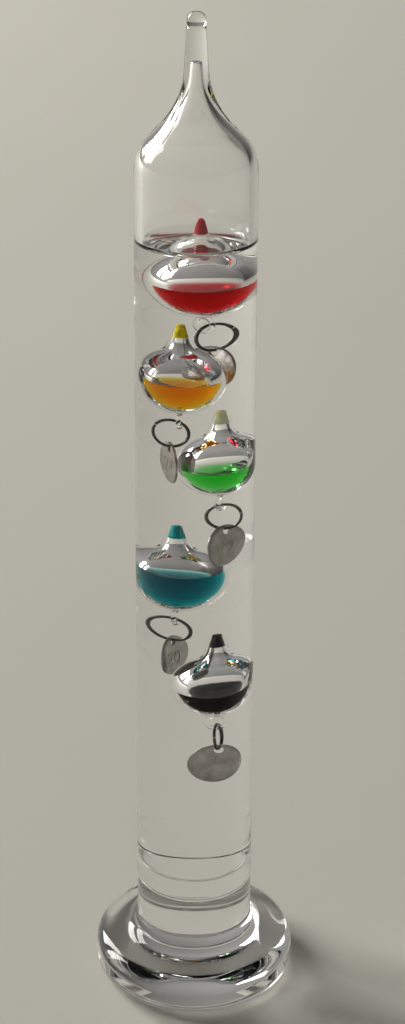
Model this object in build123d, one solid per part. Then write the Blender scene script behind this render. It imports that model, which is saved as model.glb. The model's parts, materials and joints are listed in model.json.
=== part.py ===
from build123d import *
from collections import namedtuple
from math import cos, sin, sqrt, radians
import os

# Galileo thermometer: a sealed glass cylinder on a solid glass foot, filled with a clear liquid.
# Five blown glass floats hang in the liquid, each with a jump ring and a round metal tag.
# Millimetres, +Z up, origin at the centre of the foot's underside. The viewer stands on the -Y side.

# Glass cylinder
TUBE_R = 18.0
WALL = 2.4
CAVITY_R = TUBE_R - WALL
BASE_Z = 32.6            # underside of the cylinder, fused on the foot
FLOOR_Z = 37.0           # inside floor
FLOOR_CORNER = 3.5       # inside rounding between wall and floor
SEAM_CORNER = 0.8        # small rounding on both sides of the fused seam
SPLIT_Z = 256.0          # the drawn shoulder starts here

# Drawn shoulder and sealed tip. Each outline runs straight up, bends over a 45 degree slope and
# flares back into the stem or into the narrow channel that was drawn shut.
TOTAL_H = 306.0
SLOPE_FOOT_Z = 265.9
SLOPE_TOP = (4.15, 279.75)
STEM_TOP = (2.9, 301.2)
OUTER_BEND = 13.6
OUTER_FLARE = 25.0
BEAD_R = 2.85
BEAD_NOTCH_R = 2.55
BEAD_LOW_Z = 301.9
BEAD_FULL_Z = 302.6
BEAD_CORNER = 0.5
BEAD_ROUND = 2.5
INNER_SLOPE_FOOT_Z = 264.9
INNER_SLOPE_TOP = (2.2, 278.4)
INNER_BEND = 11.2
INNER_FLARE = 24.0
CHANNEL_R = 1.1
CHANNEL_TOP_Z = 292.0
CHANNEL_ROUND = 0.9

# Foot
FOOT_R = 31.0
FOOT_EDGE_Z = 12.0       # top corner of the disc's rim before rounding
FOOT_RISE_Z = 14.2       # where the disc's sloping top would meet the neck
FOOT_LOW_ROUND = 5.0
FOOT_TOP_ROUND = 5.5
FOOT_FLARE = 7.0
NECK_R = 17.8

# Fill liquid
LIQUID_Z = 238.4
FILM = 0.05              # gap kept between a liquid and its glass
ROOM = 0.2               # gap kept between the fill liquid and each float piece

# Floats. Heights along the neck are counted from the bulb's centre, above the ball's radius.
BULB_WALL = 0.5
BULB_NECK_LOW_R = 3.3    # neck cone where it would leave the ball
BULB_NECK_TOP_R = 1.35
NECK_RISE = 7.0
NECK_BLEND = 5.0
NECK_LIP = 0.3
BORE_LOW_R = 2.6
BORE_TOP_R = 0.95
BORE_BLEND = 5.0
SEAL_LENGTH = 3.7

# Hanger loop, jump ring and tag
LOOP_R = 2.2             # centreline radius
LOOP_WIRE = 0.55         # wire radius
LOOP_SINK = 0.35         # how far the loop reaches into the line of the bulb
LOOP_SLACK = 0.25        # slack between loop and ring where they meet
PAD_R = 1.5
PAD_H = 1.0
RING_R = 4.0
RING_WIRE = 0.4
RING_CUT = 0.2           # width of the saw cut that lets the ring open
TAG_R = 6.3
TAG_THICK = 0.6
TAG_EDGE = 0.12
HOLE_R = 1.15
HOLE_UP = 4.5            # hole centre above the tag's centre
TAG_SLACK = 0.12         # slack between ring and tag where they meet

# x, y, z is the bulb's centre and dye the dye level above it. heading is the compass turn of the
# ring's plane, shift how far the ring has slid round sideways in its loop, lean its tilt out of
# plumb, swing the tag's turn in its own plane and twist its turn about its hanging line, in degrees.
Float = namedtuple("Float", "name x y z radius dye heading shift lean swing twist")
FLOATS = [
    Float("red", 1.5, 4.75, 226.6, 10.05, -1.4, 43, 30, -2, 3, 5),
    Float("amber", -3.2, -3.0, 198.7, 10.0, -0.6, -16, -31, -11, 3, 18),
    Float("green", 5.3, -1.2, 172.0, 9.6, -1.6, -10, 12, 6, -14, -19),
    Float("teal", -3.4, 2.0, 134.3, 10.1, 2.0, -21, -21, 13, 1, -1),
    Float("black", 4.7, -2.1, 100.2, 9.8, -1.8, 86, -16, -6, 8, 4),
]

UP = Vector(0, 0, 1)
Hang = namedtuple("Hang", "loop_centre loop_axis ring_centre ring_normal ring_pivot ring_axis "
                          "tag_centre tag_face tag_up tag_pivot tag_axis")


def hang(f):
    """Places and directions of a float's loop, ring and tag as they hang at rest."""
    axis = Vector(cos(radians(f.heading)), sin(radians(f.heading)), 0)
    drop = f.radius + LOOP_R + LOOP_WIRE - LOOP_SINK
    loop_centre = Vector(f.x, f.y, f.z - drop)

    # The ring's bore rests on the loop's lowest wire, and the ring's wire crosses above that wire.
    shift = radians(f.shift)
    reach = RING_R - RING_WIRE - LOOP_WIRE - LOOP_SLACK
    lift = RING_R * cos(shift) - sqrt(reach**2 - (RING_R * sin(shift))**2)
    crossing = loop_centre - UP * (LOOP_R - lift)
    tangent = axis * cos(shift) + UP * sin(shift)
    lean_axis = Axis((0, 0, 0), tangent)
    inward = (axis * sin(shift) - UP * cos(shift)).rotate(lean_axis, f.lean)
    normal = axis.cross(UP).rotate(lean_axis, f.lean)
    ring_centre = crossing + inward * RING_R

    down = (normal * normal.Z - UP).normalized()
    tag_pivot = ring_centre + down * RING_R
    pin = normal.cross(down)
    if pin.dot(axis) < 0:
        pin = -pin
    upright = (UP - pin * pin.Z).normalized().rotate(Axis((0, 0, 0), pin), f.swing)
    face = pin.rotate(Axis((0, 0, 0), upright), f.twist)
    tag_centre = tag_pivot - upright * (HOLE_UP + HOLE_R - RING_WIRE - TAG_SLACK)
    return Hang(loop_centre, axis, ring_centre, normal, crossing, tangent,
                tag_centre, face, upright, tag_pivot, pin)


def lathe(outline):
    """Solid of revolution about Z from a closed outline of radius and height."""
    return revolve(make_face(Plane.XZ * outline), axis=Axis.Z)


def tube_barrel():
    outside = FilletPolyline((0, BASE_Z), (TUBE_R, BASE_Z), (TUBE_R, SPLIT_Z), radius=SEAM_CORNER)
    rim = Line((TUBE_R, SPLIT_Z), (CAVITY_R, SPLIT_Z))
    inside = FilletPolyline((CAVITY_R, SPLIT_Z), (CAVITY_R, FLOOR_Z), (0, FLOOR_Z), radius=FLOOR_CORNER)
    axis = Line((0, FLOOR_Z), (0, BASE_Z))
    return lathe(outside + rim + inside + axis)


def tube_shoulder():
    outside = FilletPolyline(
        (TUBE_R, SPLIT_Z), (TUBE_R, SLOPE_FOOT_Z), SLOPE_TOP, STEM_TOP,
        radius=[OUTER_BEND, OUTER_FLARE])
    notch = Line(STEM_TOP, (BEAD_NOTCH_R, BEAD_LOW_Z))
    bead = FilletPolyline(
        (BEAD_NOTCH_R, BEAD_LOW_Z), (BEAD_R, BEAD_FULL_Z), (BEAD_R, TOTAL_H), (0, TOTAL_H),
        radius=[BEAD_CORNER, BEAD_ROUND])
    axis = Line((0, TOTAL_H), (0, CHANNEL_TOP_Z))
    inside = FilletPolyline(
        (0, CHANNEL_TOP_Z), (CHANNEL_R, CHANNEL_TOP_Z), INNER_SLOPE_TOP,
        (CAVITY_R, INNER_SLOPE_FOOT_Z), (CAVITY_R, SPLIT_Z),
        radius=[CHANNEL_ROUND, INNER_FLARE, INNER_BEND])
    rim = Line((CAVITY_R, SPLIT_Z), (TUBE_R, SPLIT_Z))
    return lathe(outside + notch + bead + axis + inside + rim)


def glass_foot():
    outside = FilletPolyline(
        (0, 0), (FOOT_R, 0), (FOOT_R, FOOT_EDGE_Z), (NECK_R, FOOT_RISE_Z), (NECK_R, BASE_Z), (0, BASE_Z),
        radius=[FOOT_LOW_ROUND, FOOT_TOP_ROUND, FOOT_FLARE, SEAM_CORNER])
    axis = Line((0, BASE_Z), (0, 0))
    return lathe(outside + axis)


def ball_and_neck(radius, low_r, top_r, top, blend, lip=0):
    """A ball with a tapering neck, drawn as half a section and turned about Z."""
    leave = sqrt(radius**2 - low_r**2)
    neck = Polygon((-low_r, 0), (low_r, 0), (low_r, leave), (top_r, top), (-top_r, top), (-low_r, leave),
                   align=None)
    section = Circle(radius) + neck
    corners = section.vertices().filter_by(lambda v: 0.5 * leave < v.Y < top - 0.1)
    section = fillet(corners, blend)
    if lip:
        section = fillet(section.vertices().group_by(Axis.Y)[-1], lip)
    half = section & Pos(2 * radius, 0) * Rectangle(4 * radius, 8 * radius)
    return revolve(Plane.XZ * half, axis=Axis.Z)


def bulb_skin(f, grow=0):
    """The outside of a float's bulb, larger by grow where the fill liquid has to leave room."""
    return ball_and_neck(f.radius + grow, BULB_NECK_LOW_R + grow, BULB_NECK_TOP_R + grow,
                         f.radius + NECK_RISE + grow, NECK_BLEND, NECK_LIP)


def bulb(f):
    open_top = f.radius + NECK_RISE + 1
    hollow = ball_and_neck(f.radius - BULB_WALL, BORE_LOW_R, BORE_TOP_R, open_top, BORE_BLEND)
    return Pos(f.x, f.y, f.z) * (bulb_skin(f) - hollow)


def seal(f):
    """Coloured sealing cone that fills the top of the bulb's open neck."""
    top = f.radius + NECK_RISE
    bore = ball_and_neck(f.radius - BULB_WALL, BORE_LOW_R - FILM, BORE_TOP_R - FILM, top + 1, BORE_BLEND)
    slice_ = Pos(0, 0, top - SEAL_LENGTH / 2) * Cylinder(f.radius, SEAL_LENGTH)
    return Pos(f.x, f.y, f.z) * (bore & slice_)


def dye(f):
    """Dyed liquid in the lower part of the bulb."""
    room = f.radius - BULB_WALL - FILM
    below = Pos(0, 0, f.dye - room) * Box(2 * room, 2 * room, 2 * room)
    return Pos(f.x, f.y, f.z) * (Sphere(room) & below)


def loop(f, h, grow=0):
    """Glass hanger: a small pad under the bulb that carries an upright loop."""
    eye = Plane(origin=h.loop_centre, z_dir=h.loop_axis) * Torus(LOOP_R, LOOP_WIRE + grow)
    under = f.z - f.radius
    pad = Pos(f.x, f.y, under) * Cone(LOOP_WIRE + grow, PAD_R + grow, PAD_H)
    return eye + pad - Pos(f.x, f.y, f.z) * Sphere(f.radius + FILM / 2)


def ring(f, h, grow=0):
    """Wire jump ring with a saw cut on its flank."""
    towards_pivot = (h.ring_pivot - h.ring_centre).normalized()
    place = Plane(origin=h.ring_centre, x_dir=towards_pivot, z_dir=h.ring_normal)
    wire = Torus(RING_R, RING_WIRE + grow)
    if grow:
        return place * wire
    side = 1 if f.shift < 0 else -1
    cut = Pos(0, side * RING_R, 0) * Box(RING_CUT, 4 * RING_WIRE, 4 * RING_WIRE)
    return place * (wire - cut)


def tag(h, grow=0):
    """Round metal tag with a hole near its upper edge."""
    disc = Cylinder(TAG_R + grow, TAG_THICK + 2 * grow)
    if not grow:
        disc -= Pos(HOLE_UP, 0, 0) * Cylinder(HOLE_R, 2 * TAG_THICK)
        rims = disc.edges().filter_by(GeomType.CIRCLE).filter_by(lambda e: e.radius > 2 * HOLE_R)
        disc = fillet(rims, TAG_EDGE)
    return Plane(origin=h.tag_centre, x_dir=h.tag_up, z_dir=h.tag_face) * disc


def fill_liquid(hangs):
    """The liquid column, with room left around every float piece below its surface."""
    wetted_r = CAVITY_R - FILM
    bottom = FLOOR_Z + FILM
    wall = FilletPolyline((0, bottom), (wetted_r, bottom), (wetted_r, LIQUID_Z), radius=FLOOR_CORNER)
    column = lathe(wall + Line((wetted_r, LIQUID_Z), (0, LIQUID_Z)) + Line((0, LIQUID_Z), (0, bottom)))
    for f, h in hangs:
        column -= Pos(f.x, f.y, f.z) * bulb_skin(f, ROOM)
        column -= loop(f, h, ROOM)
        column -= ring(f, h, ROOM)
        column -= tag(h, ROOM)
    return column


os.makedirs("parts", exist_ok=True)


def save(name, shape):
    export_step(shape, f"parts/{name}.step")


hangs = [(f, hang(f)) for f in FLOATS]
save("tube_barrel", tube_barrel())
save("tube_shoulder", tube_shoulder())
save("glass_foot", glass_foot())
save("fill_liquid", fill_liquid(hangs))
for f, h in hangs:
    save(f"{f.name}_bulb", bulb(f))
    save(f"{f.name}_seal", seal(f))
    save(f"{f.name}_dye", dye(f))
    save(f"{f.name}_loop", loop(f, h))
    save(f"{f.name}_ring", ring(f, h))
    save(f"{f.name}_tag", tag(h))
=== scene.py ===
import json
import math

import bpy
from mathutils import Matrix, Vector


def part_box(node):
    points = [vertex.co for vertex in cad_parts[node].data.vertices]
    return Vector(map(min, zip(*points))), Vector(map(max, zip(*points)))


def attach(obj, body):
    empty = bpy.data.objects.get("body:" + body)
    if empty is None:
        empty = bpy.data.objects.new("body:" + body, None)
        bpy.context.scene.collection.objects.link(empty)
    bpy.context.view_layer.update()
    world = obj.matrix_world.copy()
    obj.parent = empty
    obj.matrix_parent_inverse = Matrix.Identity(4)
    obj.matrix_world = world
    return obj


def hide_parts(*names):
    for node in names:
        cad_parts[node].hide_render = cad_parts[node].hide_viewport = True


# Looks of the galileo thermometer: a sealed glass cylinder of clear liquid, with five glass floats that
# each carry a jump ring and a round metal tag. Outlines are in millimetres and become metres in the
# meshes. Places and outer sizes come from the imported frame, from its nodes' boxes and its joints.

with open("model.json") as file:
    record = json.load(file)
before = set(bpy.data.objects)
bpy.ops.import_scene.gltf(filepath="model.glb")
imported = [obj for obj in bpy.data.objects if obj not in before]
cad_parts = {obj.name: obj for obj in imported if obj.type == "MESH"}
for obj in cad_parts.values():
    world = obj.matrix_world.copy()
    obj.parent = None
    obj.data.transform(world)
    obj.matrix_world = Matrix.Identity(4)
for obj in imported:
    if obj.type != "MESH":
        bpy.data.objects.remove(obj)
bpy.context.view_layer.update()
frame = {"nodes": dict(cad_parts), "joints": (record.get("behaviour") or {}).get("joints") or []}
joints = {j["name"]: j for j in frame["joints"]}
scene = bpy.context.scene

MM = 0.001
FLOATS = ("red", "amber", "green", "teal", "black")

# Indices of refraction. A wetted wall carries the ratio of its glass to the liquid on it.
GLASS = 1.50
BULB_GLASS = 1.52
FILL = 1.46
DYE = 1.36

SIDES = 192          # steps round a large turned piece
SMALL_SIDES = 128    # steps round a float
TAG_SIDES = 96       # steps round a tag
SEAL_SIDES = 64      # steps round a seal
STEP = 2.5           # longest straight stretch of an outline, mm
WALL_STEP = 20       # the same for the liquid's straight wall
FLOAT_STEP = 0.8     # the same for a float
ARC_STEP = 6.0       # degrees per step of an arc
ON_AXIS = 1e-4       # a point with a smaller radius lies on the axis, mm
CREASE = 35          # an edge is drawn sharp above this angle between its faces, degrees
LIQUID_CREASE = 60   # the same for a liquid
TAG_CREASE = 30      # the same for a tag


# ---------------------------------------------------------------- outlines

def arc(centre, radius, start, end):
    """Points on an arc of a circle in the outline plane, both ends included, angles in radians."""
    count = max(2, int(abs(math.degrees(end - start)) / ARC_STEP) + 1)
    turn = [start + (end - start) * i / count for i in range(count + 1)]
    return [(centre[0] + radius * math.cos(t), centre[1] + radius * math.sin(t)) for t in turn]


def rounded(corners, radii):
    """Outline through the corners, with each inner corner rounded to its radius."""
    points = [Vector(corners[0])]
    for before, corner, after, radius in zip(corners, corners[1:], corners[2:], radii):
        corner = Vector(corner)
        to_before = (Vector(before) - corner).normalized()
        to_after = (Vector(after) - corner).normalized()
        half = to_before.angle(to_after) / 2
        nearly_straight = half > math.radians(89.5)
        if radius <= 0 or nearly_straight:
            points.append(corner)
            continue
        reach = radius / math.tan(half)
        centre = corner + (to_before + to_after).normalized() * (radius / math.sin(half))
        first = corner + to_before * reach - centre
        last = corner + to_after * reach - centre
        start = math.atan2(first.y, first.x)
        turn = math.atan2(last.y, last.x) - start
        turn = (turn + math.pi) % (2 * math.pi) - math.pi
        points += [Vector(p) for p in arc(centre, radius, start, start + turn)]
    points.append(Vector(corners[-1]))
    return points


def spaced(points, step=STEP):
    """The same outline with its long straight runs divided, so that smooth shading stays local."""
    out = [Vector(points[0])]
    for a, b in zip(points, points[1:]):
        a, b = Vector(a), Vector(b)
        count = max(1, math.ceil((b - a).length / step))
        out += [a.lerp(b, i / count) for i in range(1, count + 1)]
    return out


def cut_at(points, height):
    """The outline with a point put in wherever it crosses a height."""
    out = [points[0]]
    for a, b in zip(points, points[1:]):
        if (a.y - height) * (b.y - height) < -1e-9:
            out.append(a.lerp(b, (height - a.y) / (b.y - a.y)))
        out.append(b)
    return out


def bands(points, chooser):
    """(radius, height, material) per point; the material is that of the stretch to the next point."""
    middles = [(a + b) / 2 for a, b in zip(points, points[1:])]
    slots = [chooser(m) for m in middles]
    return [(p.x, p.y, s) for p, s in zip(points, slots + [slots[-1]])]


def plain(points):
    """The same for an outline of a single material."""
    return bands(points, lambda m: 0)


# ---------------------------------------------------------------- meshes

def make_object(name, verts, faces, slots, materials, body, replaced=(), crease=CREASE):
    """A smooth mesh that moves with a body and stands in for the replaced nodes."""
    mesh = bpy.data.meshes.new(name)
    mesh.from_pydata(verts, [], faces)
    for m in materials:
        mesh.materials.append(m)
    mesh.polygons.foreach_set("material_index", slots)
    mesh.polygons.foreach_set("use_smooth", [True] * len(mesh.polygons))
    mesh.set_sharp_from_angle(angle=math.radians(crease))
    mesh.update()
    obj = bpy.data.objects.new(name, mesh)
    scene.collection.objects.link(obj)
    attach(obj, body)
    if replaced:
        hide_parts(*replaced)


def turned(profiles, centre, sides):
    """Vertices, quads and material numbers of outlines turned about the vertical line through centre."""
    verts, faces, slots = [], [], []
    for profile in profiles:
        rings = []
        for r, z, _ in profile:
            first = len(verts)
            height = centre[2] + z * MM
            if r < ON_AXIS:
                verts.append((centre[0], centre[1], height))
                rings.append([first] * sides)
                continue
            for i in range(sides):
                t = 2 * math.pi * i / sides
                verts.append((centre[0] + r * MM * math.cos(t), centre[1] + r * MM * math.sin(t), height))
            rings.append(list(range(first, first + sides)))
        for (low, high), (_, _, slot) in zip(zip(rings, rings[1:]), profile):
            for i in range(sides):
                j = (i + 1) % sides
                quad = [low[i], low[j], high[j], high[i]]
                face = [v for k, v in enumerate(quad) if v not in quad[:k]]
                if len(face) > 2:
                    faces.append(face)
                    slots.append(slot)
    return verts, faces, slots


def lathe(name, profiles, centre, materials, body, replaced=(), sides=SMALL_SIDES, crease=CREASE):
    verts, faces, slots = turned(profiles, centre, sides)
    make_object(name, verts, faces, slots, materials, body, replaced, crease)


# ---------------------------------------------------------------- materials

def new_material(name):
    material = bpy.data.materials.new(name)
    material.use_nodes = True
    nodes = material.node_tree.nodes
    return material, nodes, material.node_tree.links, nodes["Principled BSDF"]


def object_noise(nodes, links, scale, detail=2.0, stretch=(1, 1, 1)):
    """Noise in the object's own coordinates, stretched along its axes."""
    place = nodes.new("ShaderNodeTexCoord")
    mapping = nodes.new("ShaderNodeMapping")
    mapping.inputs["Scale"].default_value = stretch
    noise = nodes.new("ShaderNodeTexNoise")
    noise.inputs["Scale"].default_value = scale
    noise.inputs["Detail"].default_value = detail
    links.new(place.outputs["Object"], mapping.inputs["Vector"])
    links.new(mapping.outputs["Vector"], noise.inputs["Vector"])
    return noise


def add_bump(nodes, links, shader, height, strength, distance):
    bump = nodes.new("ShaderNodeBump")
    bump.inputs["Strength"].default_value = strength
    bump.inputs["Distance"].default_value = distance
    links.new(height, bump.inputs["Height"])
    links.new(bump.outputs["Normal"], shader.inputs["Normal"])


def glass(name, ior, wave_scale=60, wave=0.1, wave_height=0.0002, stretch=(1, 1, 1), gloss=1.0):
    """Clear glass with the slight waves of drawn or blown glass; gloss scales its mirror reflection."""
    material, nodes, links, shader = new_material(name)
    shader.inputs["Base Color"].default_value = (1, 1, 1, 1)
    shader.inputs["Roughness"].default_value = 0.0
    shader.inputs["IOR"].default_value = ior
    shader.inputs["Transmission Weight"].default_value = 1.0
    shader.inputs["Specular Tint"].default_value = (gloss, gloss, gloss, 1)
    noise = object_noise(nodes, links, wave_scale, detail=1.0, stretch=stretch)
    add_bump(nodes, links, shader, noise.outputs["Fac"], strength=wave, distance=wave_height)
    return material


def unseen_contact():
    """A face where a liquid or a seal touches its glass: the glass's own face already bends the light."""
    material, _, _, shader = new_material("contact_face")
    shader.inputs["Alpha"].default_value = 0.0
    shader.inputs["Roughness"].default_value = 0.0
    return material


def dyed_liquid(name, colour, density):
    """Body of a dyed liquid. Its faces bend no light; its colour deepens with the depth looked through."""
    material, nodes, links, shader = new_material(name)
    shader.inputs["Base Color"].default_value = (1, 1, 1, 1)
    shader.inputs["Roughness"].default_value = 0.0
    shader.inputs["IOR"].default_value = 1.0
    shader.inputs["Transmission Weight"].default_value = 1.0
    absorption = nodes.new("ShaderNodeVolumeAbsorption")
    absorption.inputs["Color"].default_value = (*colour, 1)
    absorption.inputs["Density"].default_value = density
    links.new(absorption.outputs["Volume"], nodes["Material Output"].inputs["Volume"])
    return material


def mottled(nodes, links, shader, noise, dark, light, first, last):
    """Base colour that goes from dark to light as the noise goes from first to last."""
    ramp = nodes.new("ShaderNodeValToRGB")
    ramp.color_ramp.elements[0].position = first
    ramp.color_ramp.elements[0].color = (*dark, 1)
    ramp.color_ramp.elements[1].position = last
    ramp.color_ramp.elements[1].color = (*light, 1)
    links.new(noise.outputs["Fac"], ramp.inputs["Fac"])
    links.new(ramp.outputs["Color"], shader.inputs["Base Color"])


def coloured_seal(name, light, dark):
    """Coloured sealing glass, mottled and glossy."""
    material, nodes, links, shader = new_material(name)
    noise = object_noise(nodes, links, scale=500)
    mottled(nodes, links, shader, noise, dark, light, first=0.30, last=0.62)
    shader.inputs["Roughness"].default_value = 0.12
    shader.inputs["Subsurface Weight"].default_value = 0.7
    shader.inputs["Subsurface Radius"].default_value = (1, 1, 1)
    shader.inputs["Subsurface Scale"].default_value = 0.0025
    add_bump(nodes, links, shader, noise.outputs["Fac"], strength=0.15, distance=0.0001)
    return material


def metal(name, light, dark, roughness, grain_scale, stretch=(1, 1, 1)):
    """Worn metal: brushed grain, darker patches and uneven polish."""
    material, nodes, links, shader = new_material(name)
    shader.inputs["Metallic"].default_value = 1.0
    grain = object_noise(nodes, links, grain_scale, detail=4.0, stretch=stretch)
    patches = object_noise(nodes, links, scale=260, detail=3.0)
    mottled(nodes, links, shader, patches, dark, light, first=0.3, last=0.7)
    polish = nodes.new("ShaderNodeMapRange")
    polish.inputs["To Min"].default_value = roughness * 0.75
    polish.inputs["To Max"].default_value = roughness * 1.25
    links.new(grain.outputs["Fac"], polish.inputs["Value"])
    links.new(polish.outputs["Result"], shader.inputs["Roughness"])
    add_bump(nodes, links, shader, grain.outputs["Fac"], strength=0.25, distance=0.00004)
    return material


DRAWN = (1, 1, 0.15)   # the waves of the drawn tube run along it
DYE_SURFACE = 1.17     # set below the real ratio, so that less of the room is mirrored in the dye
LOOP_GLASS = 1.33      # set above the real ratio, at which a loop would hardly show in the liquid
contact = unseen_contact()
tube_outside = glass("tube_glass", GLASS, wave_scale=30, wave=0.35, wave_height=0.0004, stretch=DRAWN,
                     gloss=0.35)
tube_dry = glass("tube_glass_dry", GLASS, wave_scale=30, wave=0.25, wave_height=0.0003, stretch=DRAWN)
tube_wetted = glass("tube_glass_wetted", GLASS / FILL, wave_scale=40, wave=0.3, wave_height=0.0004)
liquid_top = glass("fill_surface", FILL, wave_scale=50, wave=0.15)
bulb_outside = glass("float_glass_wetted", BULB_GLASS / FILL, wave_scale=120, wave=0.3, wave_height=0.0002)
bulb_in_air = glass("float_glass_in_air", BULB_GLASS, wave_scale=120, wave=0.3, wave_height=0.0002)
bulb_inside = glass("float_glass_inside", BULB_GLASS, wave_scale=110, wave=0.35, wave_height=0.0003)
bulb_dyed = glass("float_glass_dyed", BULB_GLASS / DYE, wave_scale=110, wave=0.3, wave_height=0.0002)
dye_top = glass("dye_surface", DYE_SURFACE, wave_scale=90, wave=0.1, gloss=0.5)

# Colour and density of each dyed liquid, light and dark colour of each seal, number on each tag.
DYES = {
    "red": ((0.912, 0.0, 0.10), 640),
    "amber": ((0.985, 0.865, 0.0), 700),
    "green": ((0.40, 0.915, 0.42), 420),
    "teal": ((0.0, 0.80, 0.83), 700),
    "black": ((0.02, 0.06, 0.08), 2200),
}
SEALS = {
    "red": ((0.80, 0.0, 0.02), (0.48, 0.0, 0.01)),
    "amber": ((0.90, 0.74, 0.01), (0.55, 0.44, 0.0)),
    "green": ((0.80, 0.91, 0.66), (0.60, 0.75, 0.46)),
    "teal": ((0.0, 0.46, 0.46), (0.0, 0.27, 0.30)),
    "black": ((0.012, 0.012, 0.014), (0.004, 0.004, 0.005)),
}
TAG_NUMBERS = {"red": "26", "amber": "24", "green": "22", "teal": "20", "black": "18"}
ring_metal = metal("ring_metal", (0.20, 0.19, 0.18), (0.06, 0.058, 0.055), roughness=0.32, grain_scale=1500)
tag_metal = metal("tag_metal", (0.52, 0.50, 0.47), (0.30, 0.285, 0.27), roughness=0.33, grain_scale=1600,
                  stretch=(1, 0.08, 1))


# ---------------------------------------------------------------- the glass vessel and its liquid

# Drawn shoulder and sealed tip, mm. Each outline runs straight up, bends over a slope and flares back
# into the stem or into the narrow channel that was drawn shut.
SLOPE_FOOT_Z = 265.9
SLOPE_TOP = (4.15, 279.75)
STEM_TOP = (2.9, 301.2)
OUTER_BEND = 13.6
OUTER_FLARE = 25
STEM_CORNER = 0.3
BEAD_NOTCH = (2.55, 301.9)
BEAD_R = 2.85
BEAD_FULL_Z = 302.6
BEAD_CORNER = 0.5
BEAD_ROUND = 2.5
INNER_SLOPE_FOOT_Z = 264.9
INNER_SLOPE_TOP = (2.2, 278.4)
INNER_BEND = 11.2
INNER_FLARE = 24
CHANNEL_R = 1.1
CHANNEL_TOP_Z = 292
CHANNEL_ROUND = 0.9
FLOOR_CORNER = 3.5     # rounding between the cavity's wall and floor

# Foot, mm, with the groove of the seam where the cylinder is fused on.
FOOT_EDGE_Z = 12       # top corner of the disc's rim before rounding
FOOT_RISE_Z = 14.2     # where the disc's sloping top would meet its neck
FOOT_LOW_ROUND = 5
FOOT_TOP_ROUND = 5.5
FOOT_FLARE = 7
FOOT_NECK_R = 17.8
SEAM_R = 17
SEAM_STEP = 0.1
SEAM_CORNER = 0.8

# Liquid, mm.
FILM = 0.05            # the CAD liquid stands this far inside its glass
CONTACT_GAP = 0.01     # the visual liquid stands this far inside it
SURFACE_DROP = 0.9     # the level lies below the CAD liquid's flat top, which allows for the climb
MENISCUS = 2.3         # how far the liquid climbs its wall
MENISCUS_REACH = 1.5   # the distance in which most of the climb fades
NECK_CLIMB = 0.6       # share of the climb that shows at the top float's neck

barrel_low, barrel_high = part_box("tube_barrel")
tip_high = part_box("tube_shoulder")[1].z / MM
foot_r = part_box("glass_foot")[1].x / MM
tube_r = barrel_high.x / MM
base_z = barrel_low.z / MM
fill_low, fill_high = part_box("fill_liquid")
cavity_r = fill_high.x / MM + FILM
floor_z = fill_low.z / MM - FILM
fill_z = fill_high.z / MM - SURFACE_DROP


def vessel():
    """Foot, cylinder and drawn tip as one glass body with a hollow inside."""
    foot_side = rounded(
        [(0, 0), (foot_r, 0), (foot_r, FOOT_EDGE_Z), (FOOT_NECK_R, FOOT_RISE_Z), (FOOT_NECK_R, base_z),
         (SEAM_R, base_z)],
        [FOOT_LOW_ROUND, FOOT_TOP_ROUND, FOOT_FLARE, SEAM_CORNER])
    tube_side = rounded(
        [(SEAM_R + SEAM_STEP, base_z), (tube_r, base_z), (tube_r, SLOPE_FOOT_Z), SLOPE_TOP, STEM_TOP,
         BEAD_NOTCH, (BEAD_R, BEAD_FULL_Z), (BEAD_R, tip_high), (0, tip_high)],
        [SEAM_CORNER, OUTER_BEND, OUTER_FLARE, STEM_CORNER, BEAD_CORNER, BEAD_CORNER, BEAD_ROUND])
    cavity_side = rounded(
        [(0, CHANNEL_TOP_Z), (CHANNEL_R, CHANNEL_TOP_Z), INNER_SLOPE_TOP, (cavity_r, INNER_SLOPE_FOOT_Z),
         (cavity_r, floor_z), (0, floor_z)],
        [CHANNEL_ROUND, INNER_FLARE, INNER_BEND, FLOOR_CORNER])
    wet_z = fill_z + MENISCUS
    outside = plain(spaced(foot_side + tube_side))
    cavity = bands(cut_at(spaced(cavity_side), wet_z), lambda m: 1 if m.y > wet_z else 2)
    lathe("vessel_glass", [outside, cavity], (0, 0, 0), [tube_outside, tube_dry, tube_wetted],
          "thermometer", ("tube_barrel", "tube_shoulder", "glass_foot"), SIDES)


vessel()


def climb(distance):
    """Height of the liquid above its level at a distance from a wall, mm."""
    return MENISCUS * math.exp(-max(distance, 0) / MENISCUS_REACH)


def neck_outline(radius, low_r, top_r, top, blend):
    """Right half of a ball with a tapering neck, from its lowest point to the neck's top edge."""
    foot = Vector((low_r, math.sqrt(radius ** 2 - low_r ** 2)))
    tip = Vector((top_r, top))
    along = (tip - foot).normalized()
    out = Vector((along.y, -along.x))
    offset = foot + out * blend
    b = offset.dot(along)
    c = offset.length_squared - (radius + blend) ** 2
    centre = offset + along * (-b + math.sqrt(b * b - c))
    on_ball = centre * (radius / (radius + blend)) - centre
    on_neck = -out * blend
    start = math.atan2(on_ball.y, on_ball.x)
    turn = (math.atan2(on_neck.y, on_neck.x) - start + math.pi) % (2 * math.pi) - math.pi
    ball_top = math.atan2(centre.y, centre.x)
    return (arc((0, 0), radius, -math.pi / 2, ball_top) + arc(centre, blend, start, start + turn)[1:]
            + [tuple(tip)])


def radius_at(points, height):
    """Radius of an outline where it last passes a height."""
    found = 0
    for a, b in zip(points, points[1:]):
        if (a[1] - height) * (b[1] - height) <= 0 and a[1] != b[1]:
            found = a[0] + (b[0] - a[0]) * (height - a[1]) / (b[1] - a[1])
    return found


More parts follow.
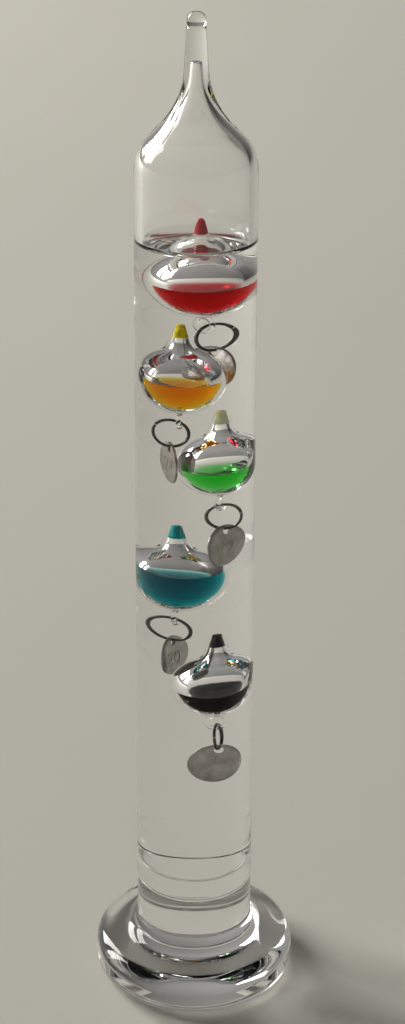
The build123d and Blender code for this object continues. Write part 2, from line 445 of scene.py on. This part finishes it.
# Float, mm. The neck is a cone that flares into the ball, with a bore for the seal.
BULB_WALL = 0.5
NECK_RISE = 7.0        # height of the neck above the ball
NECK_LOW_R = 3.3
NECK_TOP_R = 1.35
NECK_BLEND = 5.0
NECK_LIP = 0.25
BORE_LOW_R = 2.6
BORE_TOP_R = 0.95
BORE_BLEND = 5.0
SEAL_LENGTH = 3.7
SEAL_GAP = 0.02        # the seal stands this far inside its bore
SEAL_CROWN = 0.25      # how far the seal stands proud of the neck
TOP_SEAL_CROWN = 0.9   # the same on the top float, where it is drawn to a soft point
CROWN_STEPS = 6
DYE_GAP = 0.02         # the dye stands this far inside its bulb
DYE_CLIMB = 0.75       # how far the dye climbs its wall
DYE_REACH = 0.9        # the distance in which most of that climb fades
DYE_STEPS = 26
SHEET_LIFT = 0.01      # the dye's surface lies this far over its body


def float_place(name):
    """Centre of a float's ball in metres, and its radius in mm."""
    low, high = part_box(f"{name}_bulb")
    radius = (high.x - low.x) / 2 / MM
    return Vector(((low.x + high.x) / 2, (low.y + high.y) / 2, low.z + radius * MM)), radius


def body_of(name):
    return f"{name}_float"


def air_level(centre):
    """Height above a float's centre at which its neck would leave the liquid, mm."""
    return fill_z - centre.z / MM + NECK_CLIMB * MENISCUS


def fill_liquid():
    """The column of liquid. The neck of the top float stands through its surface."""
    centre, radius = float_place(FLOATS[0])
    neck_side = neck_outline(radius, NECK_LOW_R, NECK_TOP_R, radius + NECK_RISE, NECK_BLEND)
    neck_r = radius_at(neck_side, air_level(centre))
    neck_at = Vector((centre.x / MM, centre.y / MM))
    wetted_r = cavity_r - CONTACT_GAP
    bottom_z = floor_z + CONTACT_GAP
    verts, faces, slots = [], [], []

    def strip(inner, outer, slot):
        """Faces between two rings of vertices; a ring may be one vertex repeated."""
        for i in range(SIDES):
            j = (i + 1) % SIDES
            quad = [inner[i], outer[i], outer[j], inner[j]]
            faces.append([v for k, v in enumerate(quad) if v not in quad[:k]])
            slots.append(slot)

    # The surface runs from the neck to the wall, in rows that are closest where it climbs.
    rows = [0, 0.02, 0.045, 0.08, 0.12, 0.17, 0.24, 0.33, 0.45, 0.58, 0.7, 0.79, 0.86, 0.91, 0.945, 0.97,
            0.988, 1]
    rings = [range(k * SIDES, (k + 1) * SIDES) for k in range(len(rows))]
    for row in rows:
        for i in range(SIDES):
            t = 2 * math.pi * i / SIDES
            turn = Vector((math.cos(t), math.sin(t)))
            p = (neck_at + turn * neck_r).lerp(turn * wetted_r, row)
            from_wall = wetted_r - p.length
            from_neck = (p - neck_at).length - neck_r
            height = fill_z + climb(from_wall) + NECK_CLIMB * climb(from_neck)
            verts.append((p.x * MM, p.y * MM, height * MM))
    for inner, outer in zip(rings, rings[1:]):
        strip(inner, outer, 0)
    hub = len(verts)
    verts.append((neck_at.x * MM, neck_at.y * MM, (fill_z + NECK_CLIMB * MENISCUS) * MM))
    strip([hub] * SIDES, rings[0], 1)

    # The wall and the floor, down to a vertex on the axis.
    corners = [(wetted_r, fill_z), (wetted_r, bottom_z), (0, bottom_z)]
    wall = spaced(rounded(corners, [FLOOR_CORNER]), WALL_STEP)
    previous = rings[-1]
    for p in wall[1:]:
        first = len(verts)
        if p.x < ON_AXIS:
            verts.append((0, 0, p.y * MM))
            current = [first] * SIDES
        else:
            for i in range(SIDES):
                t = 2 * math.pi * i / SIDES
                verts.append((p.x * MM * math.cos(t), p.x * MM * math.sin(t), p.y * MM))
            current = range(first, first + SIDES)
        strip(previous, current, 1)
        previous = current
    make_object("fill_liquid_body", verts, faces, slots, [liquid_top, contact], "thermometer",
                ("fill_liquid",), LIQUID_CREASE)


fill_liquid()


# ---------------------------------------------------------------- the floats

def bulb(name, centre, radius, bore, seal_low, dye_edge):
    """Glass of a float: its skin up to the neck's lip, then its bore and hollow back down."""
    top = radius + NECK_RISE
    air = air_level(centre)
    skin = [Vector(p) for p in neck_outline(radius, NECK_LOW_R, NECK_TOP_R, top, NECK_BLEND)]
    lip = [Vector(p) for p in arc((NECK_TOP_R - NECK_LIP, top - NECK_LIP), NECK_LIP, 0, math.pi / 2)]
    skin = cut_at(spaced(skin[:-1] + lip, FLOAT_STEP), air)

    def inside(m):
        """Material number against the seal, against the air and against the dye."""
        if m.y > seal_low:
            return 4
        return 2 if m.y > dye_edge else 3

    profile = bands(skin, lambda m: 1 if m.y > air else 0) + bands(bore, inside)
    lathe(f"{name}_bulb_glass", [profile], centre,
          [bulb_outside, bulb_in_air, bulb_inside, bulb_dyed, contact], body_of(name),
          (f"{name}_bulb",))


def seal(name, centre, radius, bore, seal_low):
    """The seal fills the neck and stands a little proud of it."""
    top = radius + NECK_RISE
    side = [p for p in bore if seal_low - 1e-6 <= p.y <= top][::-1]
    side = [Vector((p.x - SEAL_GAP, p.y)) for p in side]
    rise = TOP_SEAL_CROWN if name == FLOATS[0] else SEAL_CROWN
    turns = [math.pi / 2 * i / CROWN_STEPS for i in range(1, CROWN_STEPS + 1)]
    crown = [Vector((side[-1].x * math.cos(t), top + rise * math.sin(t))) for t in turns]
    crown[-1].x = 0
    outline = [Vector((0, seal_low))] + side + crown
    lathe(f"{name}_seal_cone", [plain(outline)], centre,
          [coloured_seal(f"{name}_seal", *SEALS[name])], body_of(name), (f"{name}_seal",),
          SEAL_SIDES)


def dye(name, centre, radius, dye_level):
    """The dyed liquid: a body that only colours the light, and its curved surface that bends it."""
    room = radius - BULB_WALL - DYE_GAP
    edge_angle = math.asin((dye_level + DYE_CLIMB) / room)
    edge_r = room * math.cos(edge_angle)

    def surface(lift, rim):
        """Outline of the curved surface, from the wall to the axis."""
        radii = [rim * (1 - i / DYE_STEPS) for i in range(DYE_STEPS + 1)]
        return [Vector((r, dye_level + lift + DYE_CLIMB * math.exp(-(rim - r) / DYE_REACH))) for r in radii]

    bowl = [Vector(p) for p in arc((0, 0), room, -math.pi / 2, edge_angle)]
    bowl[0].x = 0
    outline = bowl[:-1] + surface(0, edge_r)
    lathe(f"{name}_dye_body", [plain(outline)], centre,
          [dyed_liquid(f"{name}_dye", *DYES[name])], body_of(name), (f"{name}_dye",),
          SMALL_SIDES, LIQUID_CREASE)
    sheet = surface(SHEET_LIFT, edge_r + SHEET_LIFT)
    lathe(f"{name}_dye_surface", [plain(sheet)], centre, [dye_top], body_of(name),
          (), SMALL_SIDES, LIQUID_CREASE)


def build_float(name):
    centre, radius = float_place(name)
    top = radius + NECK_RISE
    seal_low = top - SEAL_LENGTH
    dye_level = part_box(f"{name}_dye")[1].z / MM - centre.z / MM
    dye_edge = dye_level + DYE_CLIMB
    bore = [Vector(p) for p in neck_outline(radius - BULB_WALL, BORE_LOW_R, BORE_TOP_R, top, BORE_BLEND)]
    bore = cut_at(cut_at(spaced(bore, FLOAT_STEP)[::-1], seal_low), dye_edge)
    bulb(name, centre, radius, bore, seal_low, dye_edge)
    seal(name, centre, radius, bore, seal_low)
    dye(name, centre, radius, dye_level)


for name in FLOATS:
    build_float(name)


# ---------------------------------------------------------------- rings, loops and tags

def paint(node, material):
    obj = frame["nodes"][node]
    obj.data.materials.clear()
    obj.data.materials.append(material)


def flat_normal(node):
    """Direction of a disc node's flat faces, turned to the front."""
    largest = max(frame["nodes"][node].data.polygons, key=lambda p: p.area)
    normal = largest.normal.copy()
    return -normal if normal.y > 0 else normal


# Tag, mm.
TAG_R = 6.3
TAG_THICK = 0.6
TAG_EDGE = 0.12                   # rounding of its rim
TAG_EDGE_MIDDLE = (0.03, 0.035)   # how far that rounding's middle lies inside the rim and the face
HOLE_R = 1.15
HOLE_UP = 4.5                     # hole centre above the tag's centre
HOLE_EDGE = 0.06                  # chamfer of the hole
NUMBER_HEIGHT = 6.4
NUMBER_DROP = 1.2                 # the number's middle below the tag's centre
NUMBER_CUT = 0.12                 # half the thickness of the cutting letters
NUMBER_PROUD = 0.04               # their middle over the tag's face


def tag_mesh(name):
    """Round disc in its own plane, with a rounded rim and a punched hole, as one closed strip of rings."""
    half = TAG_THICK / 2
    inset, sunk = TAG_EDGE_MIDDLE
    outline = [
        (TAG_R - TAG_EDGE, half, 0), (TAG_R - inset, half - sunk, 0), (TAG_R, half - TAG_EDGE, 0),
        (TAG_R, TAG_EDGE - half, 0), (TAG_R - inset, sunk - half, 0), (TAG_R - TAG_EDGE, -half, 0),
        (HOLE_R + HOLE_EDGE, -half, HOLE_UP), (HOLE_R, HOLE_EDGE - half, HOLE_UP),
        (HOLE_R, half - HOLE_EDGE, HOLE_UP), (HOLE_R + HOLE_EDGE, half, HOLE_UP)]
    verts, faces, rings = [], [], []
    for r, z, up in outline:
        rings.append(range(len(verts), len(verts) + TAG_SIDES))
        for i in range(TAG_SIDES):
            t = 2 * math.pi * i / TAG_SIDES
            verts.append((r * math.cos(t) * MM, (up + r * math.sin(t)) * MM, z * MM))
    for a, b in zip(rings, rings[1:] + rings[:1]):
        for i in range(TAG_SIDES):
            j = (i + 1) % TAG_SIDES
            faces.append([b[i], b[j], a[j], a[i]])
    mesh = bpy.data.meshes.new(f"{name}_tag_disc")
    mesh.from_pydata(verts, [], faces)
    mesh.update()
    return mesh


def number_letters(name):
    """Solid letters of a tag's number, placed to cut into the front of the disc."""
    words = bpy.data.curves.new(f"{name}_number", "FONT")
    words.body = TAG_NUMBERS[name]
    words.size = NUMBER_HEIGHT * MM
    words.align_x = "CENTER"
    words.align_y = "CENTER"
    words.extrude = NUMBER_CUT * MM
    words.resolution_u = 3
    text = bpy.data.objects.new(f"{name}_number", words)
    scene.collection.objects.link(text)
    text.location = (0, -NUMBER_DROP * MM, (TAG_THICK / 2 + NUMBER_PROUD) * MM)
    bpy.context.view_layer.update()
    graph = bpy.context.evaluated_depsgraph_get()
    solid = bpy.data.meshes.new_from_object(text.evaluated_get(graph))
    letters = bpy.data.objects.new(f"{name}_cutter", solid)
    letters.location = text.location
    scene.collection.objects.link(letters)
    bpy.data.objects.remove(text)
    return letters


def engrave(obj, letters):
    """Replace an object's mesh with the mesh that is left when the letters are cut away."""
    cut = obj.modifiers.new("engrave", "BOOLEAN")
    cut.operation = "DIFFERENCE"
    cut.solver = "EXACT"
    cut.object = letters
    bpy.context.view_layer.update()
    graph = bpy.context.evaluated_depsgraph_get()
    carved = bpy.data.meshes.new_from_object(obj.evaluated_get(graph))
    obj.modifiers.clear()
    obj.data = carved
    bpy.data.objects.remove(letters)


def tag_disc(name):
    """Tag with an engraved number on its front, hung as the frame's tag hangs at rest."""
    node = f"{name}_tag"
    obj = bpy.data.objects.new(f"{name}_tag_disc", tag_mesh(name))
    scene.collection.objects.link(obj)
    engrave(obj, number_letters(name))
    obj.data.materials.clear()
    obj.data.materials.append(tag_metal)
    obj.data.polygons.foreach_set("use_smooth", [True] * len(obj.data.polygons))
    obj.data.set_sharp_from_angle(angle=math.radians(TAG_CREASE))

    low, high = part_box(node)
    centre = (low + high) / 2
    face = flat_normal(node)
    pivot = Vector(joints[f"{name}_tag_swing"]["pos_m"])
    up = (pivot - centre).normalized()
    across = up.cross(face).normalized()
    place = Matrix((across, up, face)).transposed().to_4x4()
    place.translation = centre
    obj.matrix_world = place
    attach(obj, f"{name}_weight")
    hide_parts(node)


loop_glass = glass("loop_glass", LOOP_GLASS, wave_scale=400, wave=0.3, wave_height=0.0001)
for name in FLOATS:
    paint(f"{name}_loop", loop_glass)
    paint(f"{name}_ring", ring_metal)
    tag_disc(name)


# ---------------------------------------------------------------- stage, light and camera

STAGE_HALF = 12.0        # half the width of the floor, m
STAGE_Z = -0.0003        # just under the foot, so that the two never share a plane
WINDOWS = {"window_left": (-5.1, 1.87, 2.8), "window_right": (-3.91, 3.57, 2.8)}
WINDOW_SIZE = (1.43, 3.74)
WINDOW_POWER = 315
DAYLIGHT = (1.0, 0.985, 0.95)
LIT_POINT = (0, 0, 0.15)
CAMERA_PLACE = (0.0019, -0.5678, 0.4023)
CAMERA_PITCH = 15.34     # degrees below level
CAMERA_ROLL = 0.21


def stage_floor():
    low, high = -STAGE_HALF, STAGE_HALF
    verts = [(low, low, STAGE_Z), (high, low, STAGE_Z), (high, high, STAGE_Z), (low, high, STAGE_Z)]
    mesh = bpy.data.meshes.new("floor")
    mesh.from_pydata(verts, [], [(0, 1, 2, 3)])
    obj = bpy.data.objects.new("floor", mesh)
    scene.collection.objects.link(obj)
    material, nodes, links, shader = new_material("floor")
    noise = object_noise(nodes, links, scale=3, detail=3.0)
    mottled(nodes, links, shader, noise, (0.42, 0.407, 0.364), (0.44, 0.427, 0.384), first=0, last=1)
    shader.inputs["Roughness"].default_value = 0.85
    shader.inputs["Specular IOR Level"].default_value = 0.2
    mesh.materials.append(material)


def window_light(name, place):
    """Daylight through a tall window, turned to the object."""
    light = bpy.data.lights.new(name, "AREA")
    light.shape = "RECTANGLE"
    light.size, light.size_y = WINDOW_SIZE
    light.energy = WINDOW_POWER
    light.color = DAYLIGHT
    obj = bpy.data.objects.new(name, light)
    scene.collection.objects.link(obj)
    obj.location = place
    obj.rotation_euler = (Vector(LIT_POINT) - Vector(place)).to_track_quat("-Z", "Y").to_euler()


def surroundings():
    """A plain room: bright on the windows' side, darker on the other, with a soft ceiling."""
    world = bpy.data.worlds.new("studio")
    scene.world = world
    world.use_nodes = True
    nodes, links = world.node_tree.nodes, world.node_tree.links
    coordinates = nodes.new("ShaderNodeTexCoord")
    split = nodes.new("ShaderNodeSeparateXYZ")
    links.new(coordinates.outputs["Generated"], split.inputs["Vector"])

    def ramp_of(axis, stops):
        """Colour that changes along one axis of the room, from 0 at one end to 1 at the other."""
        spread = nodes.new("ShaderNodeMapRange")
        spread.inputs["From Min"].default_value = -1
        spread.inputs["From Max"].default_value = 1
        ramp = nodes.new("ShaderNodeValToRGB")
        ramp.color_ramp.interpolation = "EASE"
        first, last = ramp.color_ramp.elements[0], ramp.color_ramp.elements[1]
        first.position, first.color = stops[0][0], (*stops[0][1], 1)
        last.position, last.color = stops[-1][0], (*stops[-1][1], 1)
        for position, colour in stops[1:-1]:
            ramp.color_ramp.elements.new(position).color = (*colour, 1)
        links.new(split.outputs[axis], spread.inputs["Value"])
        links.new(spread.outputs["Result"], ramp.inputs["Fac"])
        return ramp.outputs["Color"]

    def mixed(kind, first, second):
        """Two colours combined. Of a mix node, inputs 6 and 7 are colours and output 2 the result."""
        mix = nodes.new("ShaderNodeMix")
        mix.data_type = "RGBA"
        mix.blend_type = kind
        mix.inputs["Factor"].default_value = 1.0
        links.new(first, mix.inputs[6])
        links.new(second, mix.inputs[7])
        return mix.outputs[2]

    sideways = ramp_of("X", [(0.0, (0.75, 0.74, 0.71)), (0.3, (0.45, 0.44, 0.42)), (0.6, (0.30, 0.29, 0.27)),
                             (0.85, (0.08, 0.078, 0.074)), (1.0, (0.04, 0.04, 0.04))])
    upwards = ramp_of("Z", [(0.5, (0.0, 0.0, 0.0)), (0.75, (0.10, 0.10, 0.10)), (1.0, (0.24, 0.24, 0.235))])
    # The room in front of the object, behind whoever looks at it, is dim.
    depth = ramp_of("Y", [(0.0, (0.40, 0.40, 0.40)), (0.4, (0.60, 0.60, 0.60)), (0.7, (1.0, 1.0, 1.0))])
    room = mixed("MULTIPLY", mixed("ADD", sideways, upwards), depth)
    links.new(room, nodes["Background"].inputs["Color"])
    nodes["Background"].inputs["Strength"].default_value = 0.55


def add_camera():
    data = bpy.data.cameras.new("camera")
    data.lens = 71.7
    data.sensor_width = 36
    data.shift_y = -0.29
    data.clip_start = 0.01
    data.clip_end = 50
    camera = bpy.data.objects.new("camera", data)
    scene.collection.objects.link(camera)
    pitch = Matrix.Rotation(math.radians(90 - CAMERA_PITCH), 4, "X")
    roll = Matrix.Rotation(math.radians(CAMERA_ROLL), 4, "Z")
    camera.matrix_world = Matrix.Translation(CAMERA_PLACE) @ pitch @ roll
    scene.camera = camera


stage_floor()
surroundings()
for name, place in WINDOWS.items():
    window_light(name, place)
add_camera()

scene.view_settings.view_transform = "Standard"
scene.cycles.max_bounces = 28
scene.cycles.transmission_bounces = 28
scene.cycles.glossy_bounces = 16
scene.cycles.diffuse_bounces = 3
scene.cycles.transparent_max_bounces = 64
scene.cycles.sample_clamp_indirect = 6.0
scene.cycles.blur_glossy = 0.3
